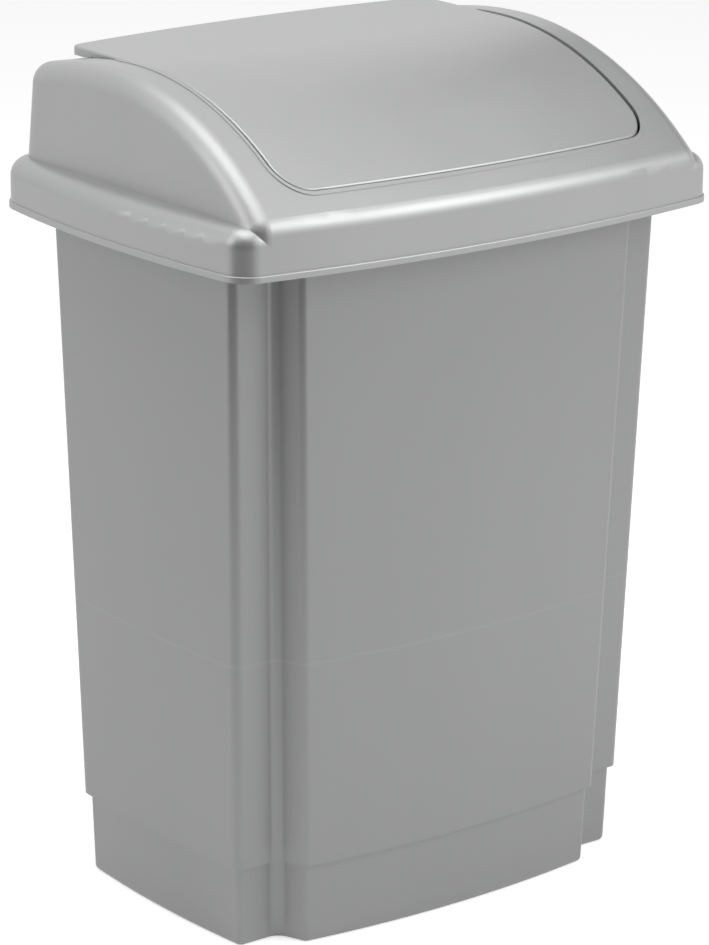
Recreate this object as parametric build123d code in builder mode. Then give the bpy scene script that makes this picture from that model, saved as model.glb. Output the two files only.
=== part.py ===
from build123d import *
from math import acos, asin, cos, degrees, hypot, radians, sin, sqrt, tan
import os

# Swing-lid bin: a tapered bucket, a domed hood that drops over its rim, and a flap that swings
# in the hood on two moulded stub pins. Millimetres, +Z up, origin on the floor under the middle
# of the bucket, front face towards -Y.
os.makedirs("parts", exist_ok=True)

# Mouldings
wall = 2.0
seat_gap = 0.3

# Bucket: how far its walls, carried down to the floor, stand inside the hood skirt, and their drafts
foot_side_step = 34.2
foot_front_step = 51.0
side_draft = 1.73
front_draft = 1.44
column_width = 26.6
panel_step = 16.7
groove_lean = 7.0
panel_bow = 7.5
bucket_side_bow = 3.6
column_radius = 6.0
groove_radius = 6.0
panel_radius = 5.0

# Plinth under the bucket walls
plinth_height = 47.0
plinth_inset = 2.9
foot_radius = 3.0
floor_thickness = 2.6
foot_ring_width = 9.0
floor_recess = 1.6

# Collar at the top of the bucket, hidden behind the hood skirt
collar_rise = 5.0
collar_round = 1.6

# Hood skirt
skirt_width = 338.0
skirt_depth = 250.0
skirt_bottom = 386.5
skirt_height = 27.5
skirt_side_bow = 8.5
skirt_front_bow = 14.0
skirt_corner = 15.0
skirt_rear_corner = 22.0
shoulder_radius = 10.0
skirt_wall = 2.4
bead_height = 3.6
bead_out = 1.0
bead_round = 0.9

# Hood dome, with its steps in from the skirt
crown_height = 59.1
arch_centre_y = 18.0
rear_arch_radius = 293.0
front_roll = 14.0
cheek_step = 15.0
dome_draft = 4.0
back_step = 4.0
dome_corner = 21.0
dome_edge = 12.0

# Opening in the hood and the flap that fills it, with the borders they leave
opening_side_border = 29.1
opening_front_border = 14.1
opening_rear_border = 37.0
opening_corner = 20.0
opening_rear_corner = 6.0
lip_width = 1.8
lip_height = 0.5
lip_rear_border = 63.0
flap_gap = 1.5
flap_rear_border = 19.5
flap_flange = 5.0
flap_skin = 2.0
flap_edge = 1.2
flap_rear_corner = 6.0

# Pivot of the flap
pivot_y = -16.0
pivot_z = 459.5
pin_diameter = 7.0
pin_clearance = 0.25
pin_end_chamfer = 0.8
ear_thickness = 3.0
ear_offset = 3.0
ear_radius = 8.0
boss_radius = 6.5
boss_thickness = 3.2
pin_overhang = 1.6

# How far construction solids run past what they cut, how near a picked corner has to be, and the
# smallest inner rounding
overshoot = 20.0
near = 0.01
least_radius = 1.0

# Derived places
shoulder_z = skirt_bottom + skirt_height
rim_top = shoulder_z - skirt_wall - seat_gap
crown_top = shoulder_z + crown_height
arch_reach = skirt_depth / 2 + arch_centre_y
arch_radius = (arch_reach**2 + crown_height**2) / (2 * crown_height)
arch_centre_z = crown_top - arch_radius
foot_half_width = skirt_width / 2 - foot_side_step
foot_half_depth = skirt_depth / 2 - foot_front_step
cheek_half_width = skirt_width / 2 - cheek_step
opening_half_width = cheek_half_width - opening_side_border
opening_front = skirt_depth / 2 - opening_front_border
opening_rear = skirt_depth / 2 - opening_rear_border
lip_end = skirt_depth / 2 - lip_rear_border
flap_rear = skirt_depth / 2 - flap_rear_border
skirt_half_chord = skirt_width / 2 - skirt_side_bow
bow_radius = (skirt_half_chord**2 + skirt_front_bow**2) / (2 * skirt_front_bow)
bow_axis_y = bow_radius - skirt_depth / 2
skirt_half_depth = skirt_depth / 2 - skirt_front_bow
side_bow_radius = (skirt_half_depth**2 + skirt_side_bow**2) / (2 * skirt_side_bow)
side_bow_axis_x = side_bow_radius - skirt_width / 2
bow_axis = Axis((0, bow_axis_y, 0), (0, 0, 1))
bow_sweep = degrees(asin((skirt_width / 2 + overshoot) / (bow_axis_y - skirt_depth / 2)))
dome_base = shoulder_z - 2 * shoulder_radius
flap_half_width = opening_half_width - flap_gap
ear_inner_x = opening_half_width + ear_offset
pin_end = ear_inner_x + ear_thickness + pin_overhang


def rounded(outline, picked, radius):
    """Round the sketch corners that the test picks."""
    fillet(outline.vertices().filter_by(picked), radius)


def bucket_section(height, inset):
    """Bucket outline at one height, with each wall moved in by inset."""
    half_width = foot_half_width + height * tan(radians(side_draft)) - inset
    half_depth = foot_half_depth + height * tan(radians(front_draft)) - inset
    slope = hypot(panel_step, groove_lean)
    lean_shift = inset * (1 - groove_lean / slope) / (panel_step / slope)
    groove_x = half_width + inset - column_width - lean_shift
    panel_x = groove_x - groove_lean
    panel_y = half_depth + panel_step
    with BuildSketch(Plane.XY.offset(height)) as section:
        with BuildLine():
            for front in (-1, 1):
                ThreePointArc(
                    (-panel_x, front * panel_y),
                    (0, front * (panel_y + panel_bow)),
                    (panel_x, front * panel_y),
                )
                for side in (-1, 1):
                    Line((side * panel_x, front * panel_y), (side * groove_x, front * half_depth))
                    Line((side * groove_x, front * half_depth), (side * half_width, front * half_depth))
            for side in (-1, 1):
                ThreePointArc(
                    (side * half_width, -half_depth),
                    (side * (half_width + bucket_side_bow), 0),
                    (side * half_width, half_depth),
                )
        make_face()
        column_round = max(column_radius - inset / 2, least_radius)
        panel_round = max(panel_radius - inset / 2, least_radius)
        rounded(section, lambda v: abs(abs(v.X) - half_width) < near, column_round)
        rounded(section, lambda v: abs(abs(v.X) - groove_x) < near, groove_radius + inset / 2)
        rounded(section, lambda v: abs(abs(v.X) - panel_x) < near, panel_round)
    return section.sketch


def hood_outline(height, inset):
    """Hood skirt outline moved in by inset: the common area of four large circles, rounded."""
    with BuildSketch(Plane.XY.offset(height)) as outline:
        with Locations((0, bow_axis_y)):
            Circle(bow_radius - inset)
        with Locations((0, -bow_axis_y)):
            Circle(bow_radius - inset, mode=Mode.INTERSECT)
        for side in (-1, 1):
            with Locations((side * side_bow_axis_x, 0)):
                Circle(side_bow_radius - inset, mode=Mode.INTERSECT)
        rounded(outline, lambda v: v.Y < -skirt_corner, skirt_corner - inset)
        rounded(outline, lambda v: v.Y > skirt_rear_corner, skirt_rear_corner - inset)
    return outline.sketch


def crown(inset, rear_radius):
    """Solid under the arched top: front wall, roll, front arch, then a rear arch or a flat."""
    reach = bow_axis_y - arch_centre_y
    front = bow_radius - inset
    radius = arch_radius - inset
    start = degrees(acos((front - reach) / radius))
    foot = arch_centre_z + radius * sin(radians(start))
    rear_length = skirt_depth / 2 - arch_centre_y + overshoot
    low = dome_base - overshoot
    sweep_plane = Plane(
        origin=(0, bow_axis_y, 0),
        x_dir=(-sin(radians(bow_sweep)), -cos(radians(bow_sweep)), 0),
        z_dir=(-cos(radians(bow_sweep)), sin(radians(bow_sweep)), 0),
    )
    with BuildPart() as solid:
        with BuildSketch(sweep_plane) as profile:
            with BuildLine():
                CenterArc((reach, arch_centre_z), radius, start, 90 - start)
                if rear_radius:
                    drop = rear_radius - inset
                    angle = degrees(acos(sqrt(1 - (rear_length / drop) ** 2)))
                    CenterArc((reach, crown_top - rear_radius), drop, 90, angle)
                    rear_z = crown_top - rear_radius + drop * cos(radians(angle))
                else:
                    rear_z = crown_top - inset
                    Line((reach, rear_z), (reach - rear_length, rear_z))
                rear = reach - rear_length
                Polyline((rear, rear_z), (rear, low), (front, low), (front, foot))
            make_face()
            corner = profile.vertices().sort_by_distance((front, foot))[0]
            fillet(corner, front_roll - inset)
        revolve(axis=bow_axis, revolution_arc=2 * bow_sweep)
    return solid.part


def dome(inset):
    """Domed top of the hood with each face and its rounded edge moved in by inset."""
    half_width = cheek_half_width - inset
    back_radius = bow_radius - back_step - inset
    back_y = sqrt(back_radius**2 - half_width**2) - bow_axis_y
    front_y = -(skirt_depth / 2 + shoulder_radius)
    under_crown = crown(inset, rear_arch_radius)
    with BuildPart() as solid:
        with BuildSketch(Plane.XY.offset(dome_base)) as plan:
            with BuildLine():
                Polyline(
                    (-half_width, back_y),
                    (-half_width, front_y),
                    (half_width, front_y),
                    (half_width, back_y),
                )
                ThreePointArc((half_width, back_y), (0, back_radius - bow_axis_y), (-half_width, back_y))
            make_face()
            rounded(plan, lambda v: v.Y > 0, dome_corner - inset)
        extrude(amount=crown_top - dome_base + wall, taper=dome_draft)
        add(under_crown, mode=Mode.INTERSECT)
        upper_edges = solid.edges().filter_by(lambda e: e.center().Z > shoulder_z)
        fillet(upper_edges.sort_by(Axis.Y)[-1], dome_edge - inset)
    return solid.part


def opening_plan(height, shrink, rear, rear_corner):
    """Plan outline of the opening, or of the flap, moved in by shrink and ending at rear."""
    half_width = opening_half_width - shrink
    front_radius = bow_axis_y + opening_front - shrink
    front_y = bow_axis_y - sqrt(front_radius**2 - half_width**2)
    rear_radius = bow_axis_y + rear
    rear_y = sqrt(rear_radius**2 - half_width**2) - bow_axis_y
    with BuildSketch(Plane.XY.offset(height)) as outline:
        with BuildLine():
            ThreePointArc((-half_width, front_y), (0, bow_axis_y - front_radius), (half_width, front_y))
            ThreePointArc((-half_width, rear_y), (0, rear), (half_width, rear_y))
            for side in (-1, 1):
                Line((side * half_width, front_y), (side * half_width, rear_y))
        make_face()
        rounded(outline, lambda v: v.Y < 0, opening_corner - shrink)
        rounded(outline, lambda v: v.Y > rear_y - 1, rear_corner)
    return outline.sketch


def prism(outline, height, top_round=0):
    """Upright prism on an outline, with its top edge rounded if asked."""
    with BuildPart() as solid:
        add(outline)
        extrude(amount=height)
        if top_round:
            fillet(solid.faces().sort_by(Axis.Z)[-1].edges(), top_round)
    return solid.part


def drafted(low, high, inset):
    """Drafted length of the bucket between two heights, moved in by inset."""
    with BuildPart() as solid:
        add(bucket_section(low, inset))
        add(bucket_section(high, inset))
        loft(ruled=True)
    return solid.part


# Bucket with its plinth, recessed floor and collar. The collar's rounding shares the centre line of
# the rounding inside the hood's shoulder, so the two stay apart by the seat gap.
floor_top = floor_recess + floor_thickness
inner_step = plinth_height + wall
shelf_z = skirt_bottom + collar_rise
collar_inset = shoulder_radius - collar_round
collar_block = prism(hood_outline(shelf_z, collar_inset), rim_top - shelf_z, collar_round)
collar_cavity = prism(hood_outline(shelf_z + wall, collar_inset + wall), rim_top - shelf_z)
lower_cavity = drafted(floor_top, inner_step, plinth_inset + wall)
upper_cavity = drafted(inner_step, shelf_z + 2 * wall, wall)
floor_hollow = prism(bucket_section(0, plinth_inset + foot_ring_width), floor_recess)

with BuildPart() as bin_body:
    add(drafted(0, plinth_height, plinth_inset))
    fillet(bin_body.faces().sort_by(Axis.Z)[0].edges(), foot_radius)
    add(drafted(plinth_height, shelf_z + wall / 2, 0))
    add(collar_block)
    add(lower_cavity, mode=Mode.SUBTRACT)
    add(upper_cavity, mode=Mode.SUBTRACT)
    add(collar_cavity, mode=Mode.SUBTRACT)
    add(floor_hollow, mode=Mode.SUBTRACT)
bin_body.part.label = "bin_body"

# Hood: skirt, dome, opening lip and the two ears that carry the flap
skirt_outer = prism(hood_outline(skirt_bottom, 0), skirt_height, shoulder_radius)
skirt_room = hood_outline(skirt_bottom, skirt_wall)
skirt_inner = prism(skirt_room, skirt_height - skirt_wall, shoulder_radius - skirt_wall)
bead = prism(hood_outline(skirt_bottom, -bead_out), bead_height, bead_round)
dome_outer = dome(0)
dome_inner = dome(wall)
opening_cut = prism(opening_plan(shoulder_z, 0, opening_rear, opening_rear_corner), crown_top)
lip_plan = opening_plan(shoulder_z, -lip_width, lip_end, opening_rear_corner)
lip_block = prism(lip_plan, crown_top) & crown(-lip_height, rear_arch_radius)
skin_middle = dome(wall / 2)

with BuildPart() as ear_plates:
    for side in (-1, 1):
        with BuildSketch(Plane.YZ.offset(side * (ear_inner_x + ear_thickness / 2))):
            with Locations((pivot_y, pivot_z)):
                Circle(ear_radius)
                Rectangle(2 * ear_radius, 2 * ear_radius, align=(Align.CENTER, Align.MIN))
        extrude(amount=ear_thickness / 2, both=True)
    add(skin_middle, mode=Mode.INTERSECT)

hood_outside = skirt_outer + bead + dome_outer + lip_block
hood_inside = skirt_inner + dome_inner

with BuildPart() as lid_frame:
    add(hood_outside - hood_inside)
    add(opening_cut, mode=Mode.SUBTRACT)
    add(ear_plates.part)
    with BuildSketch(Plane.YZ):
        with Locations((pivot_y, pivot_z)):
            Circle(pin_diameter / 2 + pin_clearance)
    extrude(amount=ear_inner_x + 2 * ear_thickness, both=True, mode=Mode.SUBTRACT)
lid_frame.part.label = "lid_frame"

# Flap: arched skin with a turned-down edge, its rear lip over the hood's back bridge
flap_plan = opening_plan(shoulder_z, flap_gap, flap_rear, flap_rear_corner)
flap_core_plan = opening_plan(
    shoulder_z, flap_gap + flap_skin, flap_rear - flap_skin, flap_rear_corner - flap_skin
)
flap_block = prism(flap_plan, crown_top) & crown(0, None)
flap_core = prism(flap_core_plan, crown_top) & crown(flap_skin, None)
seat_plan = opening_plan(shoulder_z - wall, flap_gap / 2, opening_rear - flap_gap, opening_rear_corner)
hood_seat = crown(-seat_gap, rear_arch_radius) - prism(seat_plan, crown_top)
skin_under = crown(flap_skin / 2, None)

with BuildPart() as pivot_bosses:
    for side in (-1, 1):
        boss_face = Plane.YZ.offset(side * flap_half_width)
        with BuildSketch(boss_face):
            with Locations((pivot_y, pivot_z)):
                Circle(boss_radius)
                Rectangle(2 * boss_radius, 2 * boss_radius, align=(Align.CENTER, Align.MIN))
        extrude(amount=-side * boss_thickness)
    add(skin_under, mode=Mode.INTERSECT)
    for side in (-1, 1):
        boss_face = Plane.YZ.offset(side * (flap_half_width - boss_thickness / 2))
        with BuildSketch(boss_face):
            with Locations((pivot_y, pivot_z)):
                Circle(pin_diameter / 2)
        extrude(amount=side * (pin_end - flap_half_width + boss_thickness / 2))
    pin_ends = pivot_bosses.edges().filter_by(lambda e: abs(abs(e.center().X) - pin_end) < near)
    chamfer(pin_ends, pin_end_chamfer)

with BuildPart() as swing_flap:
    add(flap_block)
    top_edges = swing_flap.edges().filter_by(lambda e: e.center().Z > crown_top - flap_skin)
    fillet(top_edges.sort_by(Axis.Y)[-1], flap_edge)
    add(flap_core, mode=Mode.SUBTRACT)
    add(crown(flap_flange, None), mode=Mode.SUBTRACT)
    add(hood_seat, mode=Mode.SUBTRACT)
    add(pivot_bosses.part)
swing_flap.part.label = "swing_flap"

for piece in (bin_body, lid_frame, swing_flap):
    export_step(piece.part, f"parts/{piece.part.label}.step")
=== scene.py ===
import math

import bpy
from mathutils import Matrix, Vector

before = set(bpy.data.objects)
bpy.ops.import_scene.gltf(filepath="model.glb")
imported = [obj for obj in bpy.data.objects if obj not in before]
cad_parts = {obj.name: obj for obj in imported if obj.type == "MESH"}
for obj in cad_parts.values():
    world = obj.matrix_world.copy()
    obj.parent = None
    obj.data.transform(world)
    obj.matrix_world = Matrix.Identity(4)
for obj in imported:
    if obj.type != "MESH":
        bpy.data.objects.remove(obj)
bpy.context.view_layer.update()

# The photograph's camera: its place in metres and its angles in degrees
CAMERA_PLACE = Vector((-1.3925, -1.7970, 0.9263))
CAMERA_AZIMUTH = -37.65
CAMERA_ELEVATION = 17.02
CAMERA_ROLL = 0.44
# Its lens in pixels of the photograph: focal length and sideways shift
IMAGE_WIDTH = 709
FOCAL_PX = 4226.96
LENS_OFFSET_PX = 8.39
SENSOR_WIDTH = 36.0

# Silver-grey moulded plastic with a metallic sheen. The tint makes its grey a trace green.
# Bucket, hood and flap are one plastic. The bucket's grey is painted darker as painted shade, and the
# hood's and flap's grey is painted lighter as painted light from above.
BUCKET_GREY_PAINTED_SHADE = 0.30
HOOD_GREY_PAINTED_LIGHT = 0.42
GREY_TINT = (1.0, 1.012, 1.006)
PLASTIC_METALLIC = 0.55
PLASTIC_IOR = 1.5
BUCKET_ROUGHNESS = 0.38
HOOD_ROUGHNESS = 0.42

# Flow marks, drawn out along the height, that vary the grey and the roughness
FLOW_SCALE = 14.0
FLOW_STRETCH = (1.0, 1.0, 0.16)
FLOW_DETAIL = 5.0
FLOW_BREAKUP = 0.55
PALE_SHARE = 1.10
SMOOTHER = 0.04
ROUGHER = 0.05

# Fine grain of the surface, its depth in metres
GRAIN_SCALE = 1400.0
GRAIN_DETAIL = 2.0
GRAIN_STRENGTH = 0.35
GRAIN_DEPTH = 0.000012

# Faint pale line round the bucket: its height, half its thickness and how pale it is
PALE_LINE_Z = 0.165
PALE_LINE_HALF = 0.0007
PALE_LINE_SHARE = 0.6

# Dark curved screens: first and last azimuth in degrees, distance, lowest and highest edge.
# Azimuth 0 is at -Y, in front of the object, and 90 at +X.
SCREENS = {
    "screen_left": (-92.0, -10.0, 1.10, 0.01, 1.30),
    "screen_right": (62.0, 128.0, 1.15, 0.80, 1.42),
}
SCREEN_STEPS = 24
SCREEN_COLOR = (0.01, 0.01, 0.01, 1.0)

# Soft lamps: place, height of the point that each faces, size in metres and power in watts
LAMPS = {
    "left": ((-2.1, 0.5, 1.5), 0.33, (1.0, 1.4), 11),
    "front": ((0.8, -1.3, 1.35), 0.40, (0.9, 0.9), 13),
    "top": ((-0.35, 0.0, 2.3), 0.44, (1.8, 1.4), 20),
}

# Surroundings. The lift is the floor's own glow, where a ray meets it directly.
WHITE = (1.0, 1.0, 1.0, 1.0)
WORLD_STRENGTH = 0.29
FLOOR_COLOR = (0.80, 0.80, 0.80, 1.0)
FLOOR_LIFT = 0.62
FLOOR_HALF = 6.0


class Nodes:
    """Adds and joins the nodes of one node tree, which it empties first."""

    def __init__(self, tree):
        self.tree = tree
        tree.nodes.clear()

    def add(self, kind, **inputs):
        """A node with values on its inputs. An underscore stands for a space in an input's name."""
        node = self.tree.nodes.new(kind)
        for name, value in inputs.items():
            node.inputs[name.replace("_", " ")].default_value = value
        return node

    def join(self, output, target):
        self.tree.links.new(output, target)

    def math(self, operation, first, second):
        """The result of a sum on two numbers or outputs."""
        node = self.tree.nodes.new("ShaderNodeMath")
        node.operation = operation
        for place, value in enumerate((first, second)):
            if isinstance(value, (int, float)):
                node.inputs[place].default_value = value
            else:
                self.join(value, node.inputs[place])
        return node.outputs[0]

    def spread(self, value, low, high):
        """Carry a value of 0 to 1 to low to high."""
        node = self.add("ShaderNodeMapRange", To_Min=low, To_Max=high)
        self.join(value, node.inputs["Value"])
        return node.outputs["Result"]


def grey(level):
    """The plastic's grey at one lightness."""
    return tuple(level * share for share in GREY_TINT) + (1.0,)


def pale_line(made, place):
    """1 on the thin level line round the bucket, and 0 elsewhere."""
    height = made.add("ShaderNodeSeparateXYZ")
    made.join(place, height.inputs[0])
    away = made.math("ABSOLUTE", made.math("SUBTRACT", height.outputs["Z"], PALE_LINE_Z), 0.0)
    return made.math("LESS_THAN", away, PALE_LINE_HALF)


def plastic(name, level, roughness, with_line):
    """Satin moulded plastic: fine grain, broad uneven sheen and upright flow marks."""
    material = bpy.data.materials.new(name)
    material.use_nodes = True
    made = Nodes(material.node_tree)
    place = made.add("ShaderNodeTexCoord").outputs["Object"]
    shader = made.add("ShaderNodeBsdfPrincipled", Metallic=PLASTIC_METALLIC, IOR=PLASTIC_IOR)
    made.join(shader.outputs[0], made.add("ShaderNodeOutputMaterial").inputs["Surface"])

    stretch = made.add("ShaderNodeMapping", Scale=FLOW_STRETCH)
    made.join(place, stretch.inputs["Vector"])
    flow = made.add("ShaderNodeTexNoise", Scale=FLOW_SCALE, Detail=FLOW_DETAIL, Roughness=FLOW_BREAKUP)
    made.join(stretch.outputs[0], flow.inputs["Vector"])
    marks = flow.outputs["Fac"]
    rough = made.spread(marks, roughness - SMOOTHER, roughness + ROUGHER)
    made.join(rough, shader.inputs["Roughness"])

    pale = marks
    if with_line:
        pale = made.math("ADD", marks, made.math("MULTIPLY", pale_line(made, place), PALE_LINE_SHARE))
    tint = made.add("ShaderNodeMix")
    tint.data_type = "RGBA"
    tint.inputs["A"].default_value = grey(level)
    tint.inputs["B"].default_value = grey(level * PALE_SHARE)
    made.join(pale, tint.inputs["Factor"])
    made.join(tint.outputs["Result"], shader.inputs["Base Color"])

    grain = made.add("ShaderNodeTexNoise", Scale=GRAIN_SCALE, Detail=GRAIN_DETAIL)
    made.join(place, grain.inputs["Vector"])
    bump = made.add("ShaderNodeBump", Strength=GRAIN_STRENGTH, Distance=GRAIN_DEPTH)
    made.join(grain.outputs["Fac"], bump.inputs["Height"])
    made.join(bump.outputs[0], shader.inputs["Normal"])
    return material


def dress(node, material):
    """Give a carried-over piece its finish."""
    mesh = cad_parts[node].data
    mesh.materials.clear()
    mesh.materials.append(material)


def camera():
    """The photograph's camera."""
    azimuth, elevation = math.radians(CAMERA_AZIMUTH), math.radians(CAMERA_ELEVATION)
    flat = Vector((-math.sin(azimuth), math.cos(azimuth), 0.0))
    forward = flat * math.cos(elevation) - Vector((0, 0, math.sin(elevation)))
    right = Vector((math.cos(azimuth), math.sin(azimuth), 0.0))
    up = right.cross(forward)
    roll = Matrix.Rotation(math.radians(CAMERA_ROLL), 3, "Z")
    turn = Matrix((right, up, -forward)).transposed() @ roll
    lens = bpy.data.cameras.new("camera")
    lens.sensor_fit = "HORIZONTAL"
    lens.sensor_width = SENSOR_WIDTH
    lens.lens = FOCAL_PX * SENSOR_WIDTH / IMAGE_WIDTH
    lens.shift_x = LENS_OFFSET_PX / IMAGE_WIDTH
    seen = bpy.data.objects.new("camera", lens)
    seen.matrix_world = Matrix.Translation(CAMERA_PLACE) @ turn.to_4x4()
    bpy.context.scene.collection.objects.link(seen)
    bpy.context.scene.camera = seen


def lamp(name, place, target, size, power):
    """A soft rectangular lamp that faces a point."""
    light = bpy.data.lights.new(name, "AREA")
    light.shape = "RECTANGLE"
    light.size, light.size_y = size
    light.energy = power
    made = bpy.data.objects.new(name, light)
    made.location = place
    made.rotation_mode = "QUATERNION"
    made.rotation_quaternion = (Vector(target) - Vector(place)).to_track_quat("-Z", "Y")
    bpy.context.scene.collection.objects.link(made)


def staged_sheet(name, corners, faces, material):
    """A thin sheet of one material that belongs to the studio and not to the object."""
    mesh = bpy.data.meshes.new(name)
    mesh.from_pydata(corners, [], faces)
    mesh.materials.append(material)
    made = bpy.data.objects.new(name, mesh)
    bpy.context.scene.collection.objects.link(made)
    return made


def seen_directly(made):
    """1 where a camera, glossy or transmission ray meets the surface, and 0 for the light on it."""
    path = made.add("ShaderNodeLightPath").outputs
    glossy_or_glass = made.math("MAXIMUM", path["Is Glossy Ray"], path["Is Transmission Ray"])
    return made.math("MAXIMUM", path["Is Camera Ray"], glossy_or_glass)


def screen(name, first, last, away, low, high):
    """A dark curved screen that darkens what faces it. No camera sees it and no lamp's light meets it."""
    material = bpy.data.materials.new(name)
    material.use_nodes = True
    made = Nodes(material.node_tree)
    cloth = made.add("ShaderNodeBsdfDiffuse", Color=SCREEN_COLOR)
    made.join(cloth.outputs[0], made.add("ShaderNodeOutputMaterial").inputs["Surface"])
    corners = []
    for step in range(SCREEN_STEPS + 1):
        azimuth = math.radians(first + (last - first) * step / SCREEN_STEPS)
        x, y = math.sin(azimuth) * away, -math.cos(azimuth) * away
        corners += [(x, y, low), (x, y, high)]
    faces = [(2 * i, 2 * i + 2, 2 * i + 3, 2 * i + 1) for i in range(SCREEN_STEPS)]
    sheet = staged_sheet(name, corners, faces, material)
    sheet.visible_camera = False
    sheet.visible_shadow = False


def sky():
    """A world that is white where it is seen and lights the object less."""
    world = bpy.data.worlds.new("studio")
    world.use_nodes = True
    bpy.context.scene.world = world
    made = Nodes(world.node_tree)
    glow = made.add("ShaderNodeBackground", Color=WHITE)
    made.join(made.spread(seen_directly(made), WORLD_STRENGTH, 1.0), glow.inputs["Strength"])
    made.join(glow.outputs[0], made.add("ShaderNodeOutputWorld").inputs["Surface"])


def floor():
    """A pale floor that keeps the object's shadow."""
    material = bpy.data.materials.new("floor")
    material.use_nodes = True
    made = Nodes(material.node_tree)
    matt = made.add("ShaderNodeBsdfDiffuse", Color=FLOOR_COLOR)
    lift = made.add("ShaderNodeEmission", Color=WHITE)
    made.join(made.math("MULTIPLY", seen_directly(made), FLOOR_LIFT), lift.inputs["Strength"])
    both = made.add("ShaderNodeAddShader")
    made.join(matt.outputs[0], both.inputs[0])
    made.join(lift.outputs[0], both.inputs[1])
    made.join(both.outputs[0], made.add("ShaderNodeOutputMaterial").inputs["Surface"])
    corners = [(x * FLOOR_HALF, y * FLOOR_HALF, 0.0) for x, y in ((-1, -1), (1, -1), (1, 1), (-1, 1))]
    staged_sheet("floor", corners, [(0, 1, 2, 3)], material)


# One plastic in two copies: a darker copy with painted shade on the bucket, and a lighter copy with
# painted light on the hood and flap.
dress("bin_body", plastic("bucket_plastic", BUCKET_GREY_PAINTED_SHADE, BUCKET_ROUGHNESS, True))
dress("lid_frame", plastic("hood_plastic", HOOD_GREY_PAINTED_LIGHT, HOOD_ROUGHNESS, False))
dress("swing_flap", plastic("flap_plastic", HOOD_GREY_PAINTED_LIGHT, HOOD_ROUGHNESS, False))
camera()
sky()
floor()
for screen_name, screen_place in SCREENS.items():
    screen(screen_name, *screen_place)
for lamp_name, (lamp_place, aim_z, lamp_size, lamp_power) in LAMPS.items():
    lamp(lamp_name, lamp_place, (0, 0, aim_z), lamp_size, lamp_power)
bpy.context.scene.view_settings.view_transform = "Standard"
